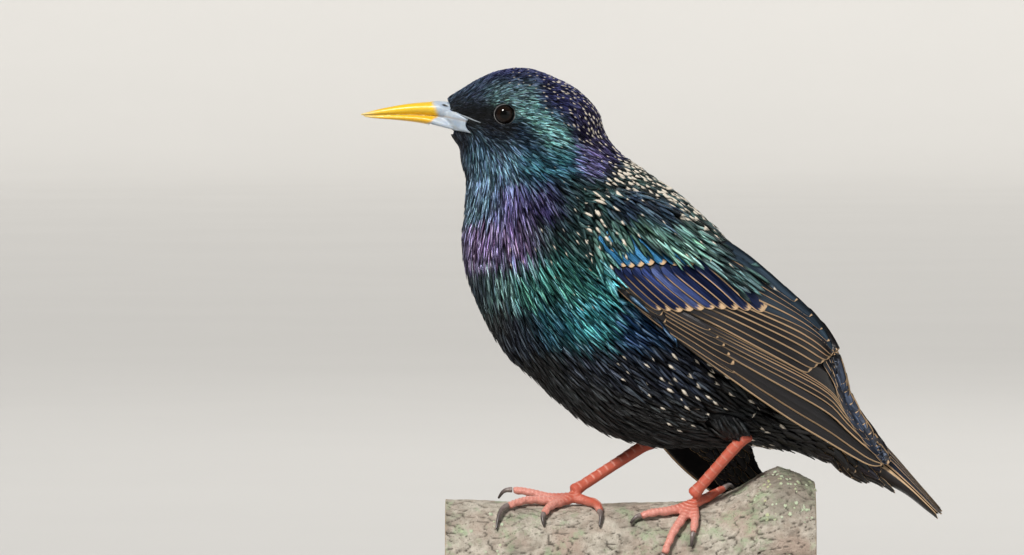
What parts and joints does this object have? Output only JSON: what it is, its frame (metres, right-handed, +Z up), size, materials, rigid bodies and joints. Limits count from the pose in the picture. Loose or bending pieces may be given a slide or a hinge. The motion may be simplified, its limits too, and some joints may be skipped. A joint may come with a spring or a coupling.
{
  "type": "starling",
  "caption": "Life-size starling with glossy dark plumage and a pale pointed bill, standing on a short cut branch on a plain rod stand.",
  "frame": {"origin": "centre of the underside of the stand's base", "axes": "+Z up; the bird faces -X and its left side, the side that the picture shows, is towards -Y"},
  "size_m": [0.1759, 0.084, 0.1984],
  "materials": {
    "plumage": "dark body feathers with a green, blue and purple metallic gloss and small buff tips",
    "flight_feather": "blackish wing and tail feathers with thin buff edges and a dull gloss",
    "bill_horn": "satin yellow horn, blue-grey at the base",
    "eye": "wet black-brown eyeball",
    "leg_skin": "orange-red scaled leg skin, satin",
    "claw_horn": "grey-brown horn claws",
    "bark": "rough grey-tan bark with patches of pale green lichen",
    "base_wood": "plain dark stained wood, satin varnish",
    "rod_steel": "plain brushed steel rods"
  },
  "bodies": {
    "root": {"head": "plumage", "neck": "plumage", "trunk": "plumage", "thigh_left": "plumage", "thigh_right": "plumage", "tail": "flight_feather", "wing_left": "flight_feather", "wing_right": "flight_feather", "bill_upper": "bill_horn", "bill_lower": "bill_horn", "eye_left": "eye", "eye_right": "eye", "shank_left": "leg_skin", "shank_right": "leg_skin", "foot_left": "leg_skin", "foot_right": "leg_skin", "claw_inner_left": "claw_horn", "claw_middle_left": "claw_horn", "claw_outer_left": "claw_horn", "claw_hind_left": "claw_horn", "claw_inner_right": "claw_horn", "claw_middle_right": "claw_horn", "claw_outer_right": "claw_horn", "claw_hind_right": "claw_horn", "perch": "bark", "stand_base": "base_wood", "stand_rod_front": "rod_steel", "stand_rod_back": "rod_steel"}
  },
  "joints": []
}
